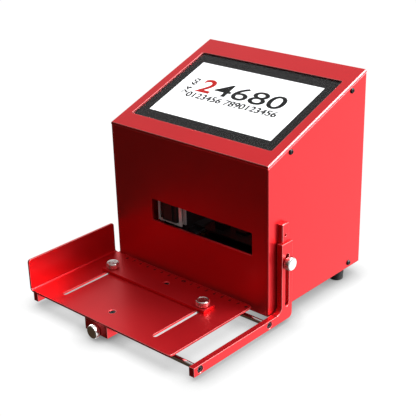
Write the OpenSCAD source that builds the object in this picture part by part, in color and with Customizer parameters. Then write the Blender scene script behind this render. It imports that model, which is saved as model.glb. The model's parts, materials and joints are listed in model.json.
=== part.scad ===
// Desktop date code inkjet printer with a lifting work platform.
// Millimetres. +X is the right of someone facing the screen, the front faces -Y, +Z is up.
// The floor is z = 0 and the origin is under the middle of the machine.

/* [Housing] */
// Width over the two side plates
body_w = 200; // [198:1:215]
// Depth from the face of the front panel to the face of the rear panel
body_d = 150; // [146:1:165]
// Height of the front edge above the underside of the base
front_h = 150; // [148:1:165]
// Height of the rear edge above the underside of the base
back_h = 204; // [200:1:215]
// Thickness of the side plates
side_t = 3; // [2.5:0.5:4]
// Thickness of the front, rear and display panels
panel_t = 2.5; // [2.5:0.5:3]
// Chamfer on the outer edges of the plates
edge_c = 0.8; // [0.4:0.1:1]
// Height of the rubber feet
foot_h = 12; // [12:1:18]

/* [Display] */
// Width of the cover glass
glass_w = 177.4; // [170:0.2:178]
// Height of the cover glass along the slope
glass_l = 114.4; // [108:0.2:116]
// Width of the visible screen
screen_w = 154.6; // [150:0.2:156]
// Height of the visible screen along the slope
screen_l = 87.4; // [84:0.2:90]
// Distance of the middle of the glass up the slope from the front edge
glass_v = 77; // [74:0.5:80]

/* [Print slot] */
// Left edge of the print slot from the middle of the machine
slot_x0 = -47.6; // [-50:0.2:-46]
// Right edge of the print slot from the middle of the machine
slot_x1 = 81; // [76:0.2:84]
// Lower edge of the print slot above the underside of the base
slot_z0 = 57.4; // [54:0.2:60]
// Upper edge of the print slot above the underside of the base
slot_z1 = 80.8; // [78:0.2:84]
// Place of the print head, measured from the middle of the machine
head_x = -32; // [-33:1:-30]

/* [Height guides] */
// Distance of the guide bars behind the front face, to their middle
guide_y = 19; // [17:0.5:22]
// Width of a guide bar
guide_w = 9.4; // [8:0.2:10]
// Thickness of a guide bar
guide_t = 5; // [4.8:0.2:5.6]
// Top of a guide bar above the underside of the base
guide_top = 90.5; // [86:0.5:96]
// Height of the clamp screw above the underside of the base
clamp_z = 52; // [48:0.5:54]

/* [Lifting frame] */
// Width of the upright leg of an arm
leg_w = 15.4; // [14.4:0.2:17]
// Top of the upright leg above the underside of the base
leg_top = 72; // [68:0.5:76]
// Height of the forward bar of an arm
bar_h = 9.2; // [8.6:0.2:9.4]
// Underside of the forward bar below the underside of the base
bar_drop = 7.6; // [7:0.2:8]
// Reach of an arm in front of the front face
reach = 110; // [108:1:112]
// Diameter of the two cross rods
rod_d = 5; // [4:0.5:6]
// Distance of the front rod in front of the front face
rod_front = 102; // [100:0.5:103]
// Distance of the rear rod in front of the front face
rod_rear = 7; // [6.5:0.5:8]

/* [Platform] */
// Middle of the platform, measured from the middle of the machine
plat_x = -10.5; // [-16:0.5:16]
// Width of the platform
plat_w = 188.5; // [180:0.5:200]
// Front edge of the platform in front of the front face
plat_front = 115; // [114:1:118]
// Rear edge of the platform in front of the front face
plat_rear = 3; // [2:0.5:4]
// Thickness of the platform sheet
plat_t = 2; // [1.5:0.1:2.2]
// Top of the platform above the underside of the base
plat_z = 7.5; // [7.2:0.1:8]
// Height of the side stop over the platform
stop_h = 32; // [25:1:40]
// Distance of the two long slots from the middle of the platform
long_slot_x = 61; // [55:0.5:66]
// Width of the two long slots
long_slot_w = 4.6; // [4.6:0.1:5.2]
// Length of the guide fence
fence_l = 138.6; // [130:0.2:145]
// Width of the guide fence
fence_w = 16; // [14:0.5:18]
// Thickness of the guide fence
fence_t = 3; // [2.5:0.1:4]
// Middle of the fence in front of the front face
fence_y = 35.5; // [34:0.5:60]

/* [Thumb screws] */
// Diameter of a knurled head
knob_d = 13.3; // [12:0.1:14]
// Thickness of a knurled head
knob_h = 5.6; // [5:0.1:7]
// Diameter of the screw under a knurled head
knob_screw_d = 4; // [3:0.5:4]

/* [Hidden] */
$fn = 72;

half_w = body_w / 2;
in_w = half_w - side_t;                     // inner face of a side plate
slope_a = atan((back_h - front_h) / body_d);
slope_l = body_d / cos(slope_a);
cover_dz = panel_t / cos(slope_a);          // the display panel's thickness, measured upright
in_front = panel_t;                         // inner face of the front panel
in_rear = body_d - panel_t;                 // inner face of the rear panel
base_t = 2;
rail_w = 12;                                // base rails
rail_h = 8;
crail = 8;                                  // cover rails, square section
side_screw_v = [31.6, 131.4];               // cover rail screws, up the slope
side_screw_y = [31, 130];                   // base rail screws
foot_x = 90;
foot_y = [24, 124];

arm_in = half_w + 1.3;                      // inner face of an arm
arm_out = half_w + guide_t + 2.3;           // outer face of an arm
knob_gap = 0.3;
plat_low = plat_z - plat_t;
plat_x0 = plat_x - plat_w / 2;
plat_x1 = plat_x + plat_w / 2;
rod_z = -2.6;
block_w = 30;
block_low = -6.6;
fence_z = plat_z + 0.15;

front_out = plat_front + knob_gap + knob_h; // furthest forward, the platform's thumb screw
rear_out = body_d + 14;                     // furthest back, the door pull
mid_y = (rear_out - front_out) / 2;

beam_y = 60;                                // front face of the rail beam
beam_z0 = 116;
beam_z1 = 146;
track_z = 131;                              // middle of the linear rail
pulley_x = 76;
pulley_y = 85;
pulley_r = 6.1;
belt_z = 152;

door_x = 68;                                // half width of the rear door
door_z0 = 42;
door_z1 = 156;
hinge_x = -71;
hinge_y = body_d + 3.7;
hinge_z = [60, 114];                        // lower end of each hinge
hinge_l = 24;

module frame() translate([0, -mid_y, foot_h]) children();
module both_sides() { children(); mirror([1, 0, 0]) children(); }
module on_slope() translate([0, 0, front_h]) rotate([slope_a, 0, 0]) children();
module box(a, b) translate(a) cube([b[0] - a[0], b[1] - a[1], b[2] - a[2]]);

// A block whose corners are rounded as seen along z.
module round_box(a, b, r) {
    box([a[0] + r, a[1], a[2]], [b[0] - r, b[1], b[2]]);
    box([a[0], a[1] + r, a[2]], [b[0], b[1] - r, b[2]]);
    for (x = [a[0] + r, b[0] - r], y = [a[1] + r, b[1] - r])
        translate([x, y, a[2]]) cylinder(r = r, h = b[2] - a[2]);
}
// A cylinder along x, y or z from its start to its far end.
module rod_x(x0, x1, y, z, d) translate([x0, y, z]) rotate([0, 90, 0]) cylinder(d = d, h = x1 - x0);
module rod_y(x, y0, y1, z, d) translate([x, y1, z]) rotate([90, 0, 0]) cylinder(d = d, h = y1 - y0);
module rod_z(x, y, z0, z1, d) translate([x, y, z0]) cylinder(d = d, h = z1 - z0);
// A prism along x whose outline is given as (y, z) points.
module prism_x(x0, x1, outline)
    translate([x0, 0, 0]) rotate([90, 0, 90]) linear_extrude(x1 - x0) polygon(outline);
// A prism along y whose outline is given as (x, z) points.
module prism_y(y0, y1, outline)
    translate([0, y1, 0]) rotate([90, 0, 0]) linear_extrude(y1 - y0) polygon(outline);

// Cutters that take a 45 degree chamfer off an edge.
module chamfer_along_y(x, z) translate([x, 0, z]) rotate([0, 45, 0])
    cube([edge_c * sqrt(2), 800, edge_c * sqrt(2)], center = true);
module chamfer_along_z(x, y) translate([x, y, 0]) rotate([0, 0, 45])
    cube([edge_c * sqrt(2), edge_c * sqrt(2), 900], center = true);
module chamfer_along_x(y, z) translate([0, y, z]) rotate([45, 0, 0])
    cube([800, edge_c * sqrt(2), edge_c * sqrt(2)], center = true);

// Screw with its head's underside at z = 0 and its shank running down.
module button_screw(d, head_d, head_h, l) {
    difference() {
        rotate_extrude() polygon([[0, 0], [head_d / 2, 0], [head_d / 2, head_h * 0.35],
            [head_d * 0.36, head_h * 0.85], [head_d * 0.26, head_h], [0, head_h]]);
        translate([0, 0, head_h * 0.35]) cylinder(d = d * 0.72, h = head_h, $fn = 6);
    }
    translate([0, 0, -l]) cylinder(d = d, h = l + 0.05);
}
module socket_screw(d, head_d, head_h, l) {
    difference() {
        cylinder(d = head_d, h = head_h);
        translate([0, 0, head_h * 0.4]) cylinder(d = d * 0.9, h = head_h, $fn = 6);
    }
    translate([0, 0, -l]) cylinder(d = d, h = l + 0.05);
}
// Countersunk screw with the top of its head at z = 0.
module flush_screw(d, head_d, l) {
    difference() {
        rotate_extrude() polygon([[0, -(head_d - d) / 2], [d / 2, -(head_d - d) / 2],
            [head_d / 2, 0], [0, 0]]);
        translate([0, 0, -1.1]) cylinder(d = d * 0.72, h = 2, $fn = 6);
    }
    translate([0, 0, -l]) cylinder(d = d, h = l - (head_d - d) / 2 + 0.05);
}

// ---------------------------------------------------------------- housing

module base_plate() color("firebrick") frame() difference() {
    box([-in_w, in_front, 0], [in_w, in_rear, base_t]);
    for (x = [-foot_x, foot_x], y = foot_y) rod_z(x, y, -1, base_t + 1, 3.2);
    for (i = [0 : 6]) translate([0, 0, -1])
        round_box([-48 + i * 16, 40, 0], [-44 + i * 16, 84, base_t + 2], 1.99);
}

module base_rails() color("silver") frame() both_sides() difference() {
    box([in_w - rail_w, in_front, base_t], [in_w, in_rear, base_t + rail_h]);
    for (y = foot_y) rod_z(foot_x, y, base_t - 1, base_t + 6.2, 3.1);
    for (y = side_screw_y) rod_x(in_w - 9, in_w + 1, y, base_t + rail_h / 2, 3.1);
    rod_y(in_w - 4, in_rear - 10, in_rear + 1, base_t + rail_h / 2, 3.1);
}

module front_panel() color("darkred") frame() difference() {
    prism_x(-in_w, in_w, [[0, 0], [panel_t, 0],
        [panel_t, front_h - cover_dz + panel_t * tan(slope_a)], [0, front_h - cover_dz]]);
    translate([0, panel_t + 1, 0]) rotate([90, 0, 0])
        round_box([slot_x0, slot_z0, 0], [slot_x1, slot_z1, panel_t + 2], 1.2);
}

module side_plate() difference() {
    prism_x(in_w, half_w, [[0, 0], [body_d, 0], [body_d, back_h - cover_dz],
        [0, front_h - cover_dz]]);
    chamfer_along_z(half_w, 0);
    chamfer_along_z(half_w, body_d);
    chamfer_along_y(half_w, 0);
    on_slope() chamfer_along_y(half_w, -panel_t);
    for (v = side_screw_v) on_slope() rod_x(in_w - 1, half_w + 1, v, -panel_t - crail / 2, 3.2);
    for (y = side_screw_y) rod_x(in_w - 1, half_w + 1, y, base_t + rail_h / 2, 3.2);
    for (z = [24, 79]) rod_x(in_w - 1, half_w + 1, guide_y, z, 3.2);
    rod_x(in_w - 1, half_w + 1, guide_y, clamp_z, knob_screw_d + 0.8);
}
module right_side_plate() color("crimson") frame() side_plate();
module left_side_plate() color("crimson") frame() mirror([1, 0, 0]) side_plate();

module cover_rails() color("silver") frame() both_sides() difference() {
    intersection() {
        on_slope() box([in_w - crail, -5, -panel_t - crail], [in_w, slope_l + 5, -panel_t]);
        box([0, in_front, 0], [half_w, in_rear, back_h]);
    }
    for (v = side_screw_v) on_slope() rod_x(in_w - 6, in_w + 1, v, -panel_t - crail / 2, 3.1);
    rod_y(in_w - 4, in_rear - 7, in_rear + 1, back_h - 9.5, 3.1);
}

module display_panel() color("firebrick") frame() difference() {
    prism_x(-half_w, half_w, [[0, front_h - cover_dz], [body_d, back_h - cover_dz],
        [body_d, back_h], [0, front_h]]);
    on_slope() {
        chamfer_along_y(half_w, 0);
        chamfer_along_y(-half_w, 0);
        round_box([-glass_w / 2 - 0.1, glass_v - glass_l / 2 - 0.1, -1.8],
            [glass_w / 2 + 0.1, glass_v + glass_l / 2 + 0.1, 1], 2.1);
        round_box([-83, glass_v - 51.5, -panel_t - 1], [83, glass_v + 51.5, 0], 1);
    }
    chamfer_along_x(body_d, back_h);
}

module glass_border() color("black") frame() on_slope() difference() {
    round_box([-glass_w / 2, glass_v - glass_l / 2, -1.8],
        [glass_w / 2, glass_v + glass_l / 2, -1.5], 2);
    box([-screen_w / 2, glass_v - screen_l / 2, -2], [screen_w / 2, glass_v + screen_l / 2, -1]);
}
module touch_glass() color([0.2, 0.2, 0.22, 0.4]) frame() on_slope()
    round_box([-glass_w / 2, glass_v - glass_l / 2, -1.5],
        [glass_w / 2, glass_v + glass_l / 2, 0], 2);
module lcd_module() color("white") frame() on_slope()
    box([-82.5, glass_v - 51, -8.5], [82.5, glass_v + 51, -1.8]);
module display_clips() color("gainsboro") frame() on_slope()
    for (x = [-1, 1], v = [glass_v - 30, glass_v + 30]) {
        box([x * 84 - 4.5, v - 5, -10], [x * 84 + 4.5, v + 5, -8.5]);
        box([x * 85.75 - 2.75, v - 5, -8.6], [x * 85.75 + 2.75, v + 5, -panel_t]);
    }

module rear_panel() color("firebrick") frame() difference() {
    prism_x(-in_w, in_w, [[in_rear, 0], [body_d, 0], [body_d, back_h - cover_dz],
        [in_rear, back_h - cover_dz - panel_t * tan(slope_a)]]);
    translate([0, body_d + 1, 0]) rotate([90, 0, 0]) {
        round_box([-62, 48, 0], [62, 150, panel_t + 2], 3);
        round_box([69.5, 14.5, 0], [82.5, 33.5, panel_t + 2], 0.4);
        for (x = [-60, -40]) box([x - 7.2, 11.4, 0], [x + 7.2, 19.2, panel_t + 2]);
        for (i = [0 : 8]) round_box([-40 + i * 9, 166, 0], [-36 + i * 9, 188, panel_t + 2], 1.9);
    }
    rod_y(48, in_rear - 1, body_d + 1, 24, 8.2);
    for (x = [-in_w + 4, in_w - 4], z = [base_t + rail_h / 2, back_h - 9.5])
        rod_y(x, in_rear - 1, body_d + 1, z, 3.2);
}

module side_plate_screws() color("black") frame() both_sides() {
    for (v = side_screw_v) on_slope() translate([half_w, v, -panel_t - crail / 2])
        rotate([0, 90, 0]) button_screw(3, 5.5, 1.8, side_t + 5);
    for (y = side_screw_y) translate([half_w, y, base_t + rail_h / 2])
        rotate([0, 90, 0]) button_screw(3, 5.5, 1.8, side_t + 8);
}
module rear_panel_screws() color("black") frame()
    for (x = [-in_w + 4, in_w - 4], z = [base_t + rail_h / 2, back_h - 9.5])
        translate([x, body_d, z]) rotate([-90, 0, 0]) button_screw(3, 5.5, 1.8, panel_t + 6);

module rubber_feet() color("dimgray") frame() for (x = [-foot_x, foot_x], y = foot_y)
    translate([x, y, -foot_h]) rotate_extrude() polygon([[3.6, 0], [6.4, 0], [7, 0.6],
        [7.6, foot_h - 0.4], [7.2, foot_h], [1.6, foot_h], [1.6, 5], [3.6, 5]]);
module foot_screws() color("silver") frame() for (x = [-foot_x, foot_x], y = foot_y)
    translate([x, y, -foot_h + 5]) mirror([0, 0, 1])
        button_screw(3, 5.6, 2, foot_h - 5 + base_t + 6);

// ------------------------------------------------- inside: rail, motor, belt

module beam_posts() color("silver") frame() both_sides()
    box([in_w - rail_w, beam_y - 2, base_t + rail_h], [in_w, beam_y + 12, beam_z0]);
module rail_beam() color("silver") frame() difference() {
    box([-in_w, beam_y, beam_z0], [in_w, beam_y + 6, beam_z1]);
    for (x = [-75 : 25 : 75]) rod_y(x, beam_y - 1, beam_y + 7, track_z, 3);
}
module linear_rail() color("lightgray") frame() difference() {
    box([-84, beam_y - 6, track_z - 4.5], [84, beam_y, track_z + 4.5]);
    for (z = [track_z - 4.5, track_z + 4.5]) translate([0, beam_y - 3, z]) rotate([45, 0, 0])
        cube([400, 1.2, 1.2], center = true);
    for (x = [-75 : 25 : 75]) {
        rod_y(x, beam_y - 7, beam_y + 1, track_z, 3);
        rod_y(x, beam_y - 7, beam_y - 3.5, track_z, 5.6);
    }
}
module motor_plate() color("dimgray") frame() difference() {
    box([56, beam_y, beam_z1], [in_w - 0.5, 104, beam_z1 + 2]);
    rod_z(pulley_x, pulley_y, beam_z1 - 1, beam_z1 + 3, 22);
    for (x = [-13, 13], y = [-13, 13])
        rod_z(pulley_x + x, pulley_y + y, beam_z1 - 1, beam_z1 + 3, 3.2);
}
module stepper_motor() color("black") frame() difference() {
    union() {
        round_box([pulley_x - 17.5, pulley_y - 17.5, beam_z1 - 30],
            [pulley_x + 17.5, pulley_y + 17.5, beam_z1], 3);
        rod_z(pulley_x, pulley_y, beam_z1 - 1, beam_z1 + 1.8, 21.6);
        box([pulley_x - 8, pulley_y + 17, beam_z1 - 28], [pulley_x + 8, pulley_y + 22, beam_z1 - 20]);
    }
    rod_z(pulley_x, pulley_y, beam_z1 - 12, beam_z1 + 3, 5.1);
    for (x = [-13, 13], y = [-13, 13])
        rod_z(pulley_x + x, pulley_y + y, beam_z1 - 4, beam_z1 + 3, 3);
}
module idler_plate() color("silver") frame() {
    difference() {
        box([-in_w + 0.5, beam_y, beam_z1], [-62, 98, beam_z1 + 2]);
        for (x = [-90, -67]) rod_z(x, beam_y + 3, beam_z1 - 1, beam_z1 + 3, 3.2);
    }
    rod_z(-pulley_x, pulley_y, beam_z1 + 1, belt_z + 9, 5);
    rod_z(-pulley_x, pulley_y, beam_z1 + 1, belt_z - 1.4, 8);
    rod_z(-pulley_x, pulley_y, belt_z + 7.4, belt_z + 9, 8);
}
module pulley(bore) difference() {
    union() {
        rod_z(0, 0, -1, 7, 2 * pulley_r);
        rod_z(0, 0, -1, -0.3, 15);
        rod_z(0, 0, 6.3, 7, 15);
    }
    if (bore > 0) rod_z(0, 0, -2, 8, bore);
}
module motor_pulley() color("silver") frame() translate([pulley_x, pulley_y, belt_z]) {
    pulley(0);
    rod_z(0, 0, beam_z1 - 11 - belt_z, 9, 5);
}
module idler_pulley() color("silver") frame() translate([-pulley_x, pulley_y, belt_z]) pulley(5.1);
module belt_loop(r, z0, z1) {
    for (x = [-pulley_x, pulley_x]) rod_z(x, pulley_y, z0, z1, 2 * r);
    box([-pulley_x, pulley_y - r, z0], [pulley_x, pulley_y + r, z1]);
}
module drive_belt() color("black") frame() difference() {
    belt_loop(pulley_r + 1.7, belt_z, belt_z + 6);
    belt_loop(pulley_r + 0.4, belt_z - 1, belt_z + 7);
}

// ------------------------------------------------- inside: print head, slides in x

module rail_carriage() color("silver") frame() translate([head_x, 0, 0]) difference() {
    box([-14.5, beam_y - 10, track_z - 10], [14.5, beam_y - 1.5, track_z + 10]);
    box([-16, beam_y - 6.3, track_z - 4.85], [16, beam_y, track_z + 4.85]);
}
module head_bracket() color("gray") frame() translate([head_x, 0, 0]) difference() {
    union() {
        box([-16, beam_y - 13, 109], [16, beam_y - 10, track_z + 10]);
        box([-16, 12, 109], [16, 66, 112]);
        box([-14, beam_y - 13, track_z + 9], [-4, beam_y - 10, belt_z - 0.6]);
        box([-14, beam_y - 13, belt_z - 2.6], [-4, 82.5, belt_z - 0.6]);
        box([-14, 74.5, belt_z - 1], [-4, 76.6, belt_z + 6.5]);
        box([-14, 79.6, belt_z - 1], [-4, 82.5, belt_z + 6.5]);
    }
    for (x = [-10, 10], z = [-7.5, 7.5]) rod_y(x, beam_y - 14, beam_y - 9, track_z + z, 3);
}
module cartridge_holder() color("dimgray") frame() translate([head_x, 0, 0]) difference() {
    union() {
        box([-14.5, 16, 46], [14.5, 66, 109]);
        box([14, 28, 50.5], [24, 52, 52.5]);
    }
    box([-12.3, 15, 48.5], [12.3, 67, 107]);
}
module item_sensor() color("black") frame() translate([head_x, 0, 0]) {
    box([14.5, 20, 44.5], [16.5, 44, 50.5]);
    box([16.4, 20, 44.5], [23, 36, 47]);
}
module ink_cartridge() color([0.12, 0.12, 0.13]) frame() translate([head_x, 0, 0]) difference() {
    union() {
        box([-12, 18, 48.5], [12, 72, 106.5]);
        box([-9.5, 8, 58], [9.5, 18.1, 88]);
        box([-5.5, 6, 60], [5.5, 8.1, 84]);
    }
    for (z = [60 : 6 : 96]) box([-13, 69, z], [13, 70, z + 3]);
}
module head_face_frame() color("lightgray") frame() translate([head_x, 0, 0]) difference() {
    box([-16, 9, 55.4], [16, 16, 109]);
    box([-13.6, 8, 57.6], [12.3, 17, 110]);
    box([-17, 10.2, 50], [17, 14.6, 106]);
}

// ------------------------------------------------- inside and rear: electrics

module board_standoffs() color("gold") frame() for (x = [-66, 26], y = [94, 138])
    rod_z(x, y, base_t, base_t + 8, 5.5);
module controller_board() color("darkgreen") frame() {
    box([-70, 90, base_t + 8], [30, 146.5, base_t + 9.6]);
    for (c = [[-20, 110, 14, 3], [8, 104, 10, 2], [-46, 104, 12, 8], [14, 126, 8, 9]])
        translate([c[0], c[1], base_t + 9.5]) translate([-c[2] / 2, -c[2] / 2, 0])
            cube([c[2], c[2], c[3]]);
}
module usb_ports() color("silver") frame() for (x = [-60, -40]) difference() {
    box([x - 7, 132, base_t + 9.6], [x + 7, body_d + 0.5, base_t + 17]);
    box([x - 6.4, 136, base_t + 10.2], [x + 6.4, body_d + 1, base_t + 16.4]);
}
module power_inlet() color("black") frame() difference() {
    union() {
        rod_y(48, in_rear - 14, body_d, 24, 8);
        rod_y(48, body_d, body_d + 1.8, 24, 11);
        translate([48, in_rear, 24]) rotate([90, 0, 0]) cylinder(d = 12, h = 2.4, $fn = 6);
    }
    rod_y(48, in_rear - 10, body_d + 3, 24, 5.6);
}
module switch_housing() color("black") frame() {
    difference() {
        union() {
            box([67.5, body_d, 12.5], [84.5, body_d + 1.6, 35.5]);
            box([69.7, in_rear - 13, 14.7], [82.3, body_d + 0.1, 33.3]);
        }
        box([71, in_rear - 4, 15.6], [81, body_d + 3, 32.4]);
    }
    rod_x(70.9, 81.1, body_d - 3, 24, 1.5);
}
module power_rocker() color("black") frame() translate([76, body_d - 3, 24]) rotate([8, 0, 0])
    difference() {
        union() {
            prism_x(-4.7, 4.7, [[-2, -3], [0, -6.6], [5.6, -7.2], [4.9, 0], [5.6, 7.2],
                [0, 6.6], [-2, 3]]);
        }
        rod_x(-5, 5, 0, 0, 1.6);
    }

// ------------------------------------------------- rear door

module rear_door() color("firebrick") frame() difference() {
    translate([0, body_d + 2, 0]) rotate([90, 0, 0])
        round_box([-door_x, door_z0, 0], [door_x, door_z1, 1.9], 2);
    rod_y(56, body_d - 1, body_d + 3, 99, 3.2);
}
module hinge_frame_leaves() color("silver") frame() for (z = hinge_z) {
    box([hinge_x - 15, body_d, z], [hinge_x - 1.4, body_d + 1.2, z + hinge_l]);
    for (k = [[0, 7], [17, 24]]) {
        box([hinge_x - 2.5, body_d + 0.2, z + k[0]], [hinge_x - 0.4, hinge_y, z + k[1]]);
        rod_z(hinge_x, hinge_y, z + k[0], z + k[1], 5);
    }
    rod_z(hinge_x, hinge_y, z - 0.8, z + hinge_l + 0.8, 2.4);
}
module hinge_door_leaves() color("silver") frame() for (z = hinge_z) difference() {
    union() {
        box([hinge_x + 1, body_d + 2, z], [hinge_x + 15, body_d + 3.2, z + hinge_l]);
        rod_z(hinge_x, hinge_y, z + 7.3, z + 16.7, 5);
        box([hinge_x, body_d + 2, z + 7.3], [hinge_x + 2, body_d + 3.2, z + 16.7]);
    }
    for (k = [[-1, 7.3], [16.7, 25]]) rod_z(hinge_x, hinge_y, z + k[0], z + k[1], 6);
    rod_z(hinge_x, hinge_y, z - 2, z + hinge_l + 2, 2.5);
}
module door_pull() color("silver") frame() translate([56, body_d + 2, 99]) rotate([-90, 0, 0])
    rotate_extrude() polygon([[0, -1.6], [1.5, -1.6], [1.5, 0], [3.4, 0], [3, 5], [6, 7.4],
        [6, 11], [5.2, 12], [0, 12]]);

// ------------------------------------------------- height guides and lifting frame

module guide_bar() difference() {
    box([half_w, guide_y - guide_w / 2, 6], [half_w + guide_t, guide_y + guide_w / 2, guide_top]);
    for (z = [24, 79]) rod_x(half_w - 1, half_w + guide_t + 1, guide_y, z, 2.8);
    rod_x(half_w - 1, half_w + guide_t + 1, guide_y, clamp_z, knob_screw_d + 0.1);
    // groove behind the arm's slot
    box([half_w + guide_t - 1.8, guide_y - 2.9, 5], [half_w + guide_t + 1, guide_y + 2.9, 62]);
    chamfer_along_z(half_w + guide_t, guide_y - guide_w / 2);
    translate([0, guide_y, guide_top]) translate([half_w + guide_t, 0, 0]) rotate([0, 45, 0])
        cube([0.7, 40, 0.7], center = true);
}
module right_guide_bar() color("crimson") frame() guide_bar();
module left_guide_bar() color("crimson") frame() mirror([1, 0, 0]) guide_bar();
module guide_bar_screws() color("silver") frame() both_sides() for (z = [24, 79])
    translate([in_w, guide_y, z]) rotate([0, -90, 0]) socket_screw(2.7, 5, 2.6, side_t + 3);

slot_low = 6.4;
slot_high = 61;
slot_w = knob_screw_d + 1.4;
module arm() difference() {
    union() {
        box([arm_in, guide_y - leg_w / 2, -bar_drop + 5], [arm_out, guide_y + leg_w / 2, leg_top]);
        box([arm_in, -reach, -bar_drop], [arm_out, guide_y + leg_w / 2 - 5, -bar_drop + bar_h]);
        rod_x(arm_in, arm_out, guide_y + leg_w / 2 - 5, -bar_drop + 5, 10);
        // inner corner fillet between the forward bar and the upright leg
        difference() {
            box([arm_in, guide_y - leg_w / 2 - 7, -bar_drop + bar_h - 0.1],
                [arm_out, guide_y - leg_w / 2 + 0.1, -bar_drop + bar_h + 7]);
            rod_x(arm_in - 1, arm_out + 1, guide_y - leg_w / 2 - 7, -bar_drop + bar_h + 7, 14);
        }
    }
    // channel that runs on the guide bar
    box([arm_in - 1, guide_y - guide_w / 2 - 0.25, -bar_drop - 1],
        [half_w + guide_t + 0.25, guide_y + guide_w / 2 + 0.25, leg_top + 1]);
    // slot for the clamp screw
    box([half_w, guide_y - slot_w / 2, slot_low + slot_w / 2],
        [arm_out + 1, guide_y + slot_w / 2, slot_high - slot_w / 2]);
    for (z = [slot_low + slot_w / 2, slot_high - slot_w / 2]) rod_x(half_w, arm_out + 1, guide_y, z, slot_w);
    // rod screws
    for (y = [-rod_front, -rod_rear]) {
        rod_x(arm_in - 1, arm_out + 1, y, rod_z, 3.2);
        rod_x(arm_out - 3, arm_out + 1, y, rod_z, 7);
    }
}
module right_arm() color("crimson") frame() arm();
module left_arm() color("crimson") frame() mirror([1, 0, 0]) arm();

module cross_rod(y) difference() {
    rod_x(-arm_in, arm_in, y, rod_z, rod_d);
    both_sides() rod_x(arm_in - 10, arm_in + 1, y, rod_z, 3.1);
}
module front_rod() color("gainsboro") frame() cross_rod(-rod_front);
module rear_rod() color("gainsboro") frame() cross_rod(-rod_rear);
module rod_screws() color("black") frame() both_sides() for (y = [-rod_front, -rod_rear])
    translate([arm_out - 3, y, rod_z]) rotate([0, 90, 0]) socket_screw(3, 5.5, 2.3, 11);

// ------------------------------------------------- thumb screws

// Head with its underside at z = 0; the screw runs down by l.
module thumb_screw(l) {
    rotate_extrude() polygon([[0, 0], [knob_d / 2 - 0.5, 0], [knob_d / 2, 0.5],
        [knob_d / 2, knob_h - 0.6], [knob_d / 2 - 0.6, knob_h], [knob_d / 2 - 1.2, knob_h],
        [knob_d / 2 - 2, knob_h - 0.4], [0, knob_h - 0.4]]);
    translate([0, 0, -l]) cylinder(d = knob_screw_d, h = l + 0.05);
}
module height_knob() translate([arm_out + knob_gap, guide_y, clamp_z]) rotate([0, 90, 0])
    thumb_screw(arm_out + knob_gap - half_w + side_t);
module right_height_knob() color("gainsboro") frame() height_knob();
module left_height_knob() color("gainsboro") frame() mirror([1, 0, 0]) height_knob();
module platform_knob() color("gainsboro") frame()
    translate([plat_x, -plat_front - knob_gap, rod_z]) rotate([90, 0, 0])
        thumb_screw(plat_front + knob_gap - rod_front - rod_d / 2 - 0.4);
module fence_knob(x) translate([plat_x + x, -fence_y, fence_z + fence_t + knob_gap])
    thumb_screw(fence_t + plat_t + 3 + knob_gap + 0.15);
module left_fence_knob() color("gainsboro") frame() fence_knob(-long_slot_x);
module right_fence_knob() color("gainsboro") frame() fence_knob(long_slot_x);

// ------------------------------------------------- platform and fence

module platform_plate() color("red") frame() difference() {
    union() {
        box([plat_x0 + 2 * plat_t, -plat_front, plat_low], [plat_x1, -plat_rear, plat_z]);
        box([plat_x0, -plat_front, plat_low + 2 * plat_t], [plat_x0 + plat_t, -plat_rear, plat_z + stop_h]);
        intersection() {
            difference() {
                rod_y(plat_x0 + 2 * plat_t, -plat_front, -plat_rear, plat_low + 2 * plat_t, 4 * plat_t);
                rod_y(plat_x0 + 2 * plat_t, -plat_front - 1, -plat_rear + 1, plat_low + 2 * plat_t, 2 * plat_t);
            }
            box([plat_x0, -plat_front, plat_low],
                [plat_x0 + 2 * plat_t, -plat_rear, plat_low + 2 * plat_t]);
        }
    }
    // rounded upper corners of the side stop
    for (s = [[-plat_front, 1], [-plat_rear, -1]]) difference() {
        translate([plat_x0 - 1, s[0] - 3, plat_z + stop_h - 3]) cube([plat_t + 2, 6, 6]);
        rod_x(plat_x0 - 2, plat_x0 + plat_t + 2, s[0] + s[1] * 3, plat_z + stop_h - 3, 6);
    }
    // rounded right corners of the platform
    for (s = [[-plat_front, 1], [-plat_rear, -1]]) difference() {
        translate([plat_x1 - 3, s[0] - 3, plat_low - 1]) cube([6, 6, plat_t + 2]);
        rod_z(plat_x1 - 3, s[0] + s[1] * 3, plat_low - 2, plat_z + 2, 6);
    }
    // relief hole at the rear end of the fold
    rod_z(plat_x0 + 3.6, -plat_rear - 1.6, plat_low - 1, plat_z + 3, 2.6);
    for (x = [-long_slot_x, long_slot_x]) {
        box([plat_x + x - long_slot_w / 2, -101 + long_slot_w / 2, plat_low - 1],
            [plat_x + x + long_slot_w / 2, -24 - long_slot_w / 2, plat_z + 1]);
        for (y = [-101 + long_slot_w / 2, -24 - long_slot_w / 2])
            rod_z(plat_x + x, y, plat_low - 1, plat_z + 1, long_slot_w);
    }
    for (y = [-94, -22]) {
        rod_z(plat_x, y, plat_low - 1, plat_z + 1, 3.2);
        translate([plat_x, y, plat_z]) rotate_extrude()
            polygon([[0, -1.8], [1.6, -1.8], [3.4, -0.1], [3.6, 0], [3.6, 1], [0, 1]]);
    }
}
module front_slider_block() color("crimson") frame() difference() {
    box([plat_x - block_w / 2, -plat_front, block_low], [plat_x + block_w / 2, -89, plat_low]);
    rod_x(plat_x - block_w, plat_x + block_w, -rod_front, rod_z, rod_d + 0.1);
    rod_y(plat_x, -plat_front - 1, -rod_front, rod_z, knob_screw_d + 0.1);
    rod_z(plat_x, -94, plat_low - 8, plat_low + 1, 3.1);
}
module rear_slider_block() color("crimson") frame() difference() {
    box([plat_x - block_w / 2, -28, block_low], [plat_x + block_w / 2, -plat_rear, plat_low]);
    rod_x(plat_x - block_w, plat_x + block_w, -rod_rear, rod_z, rod_d + 0.1);
    rod_z(plat_x, -22, plat_low - 8, plat_low + 1, 3.1);
}
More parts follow.
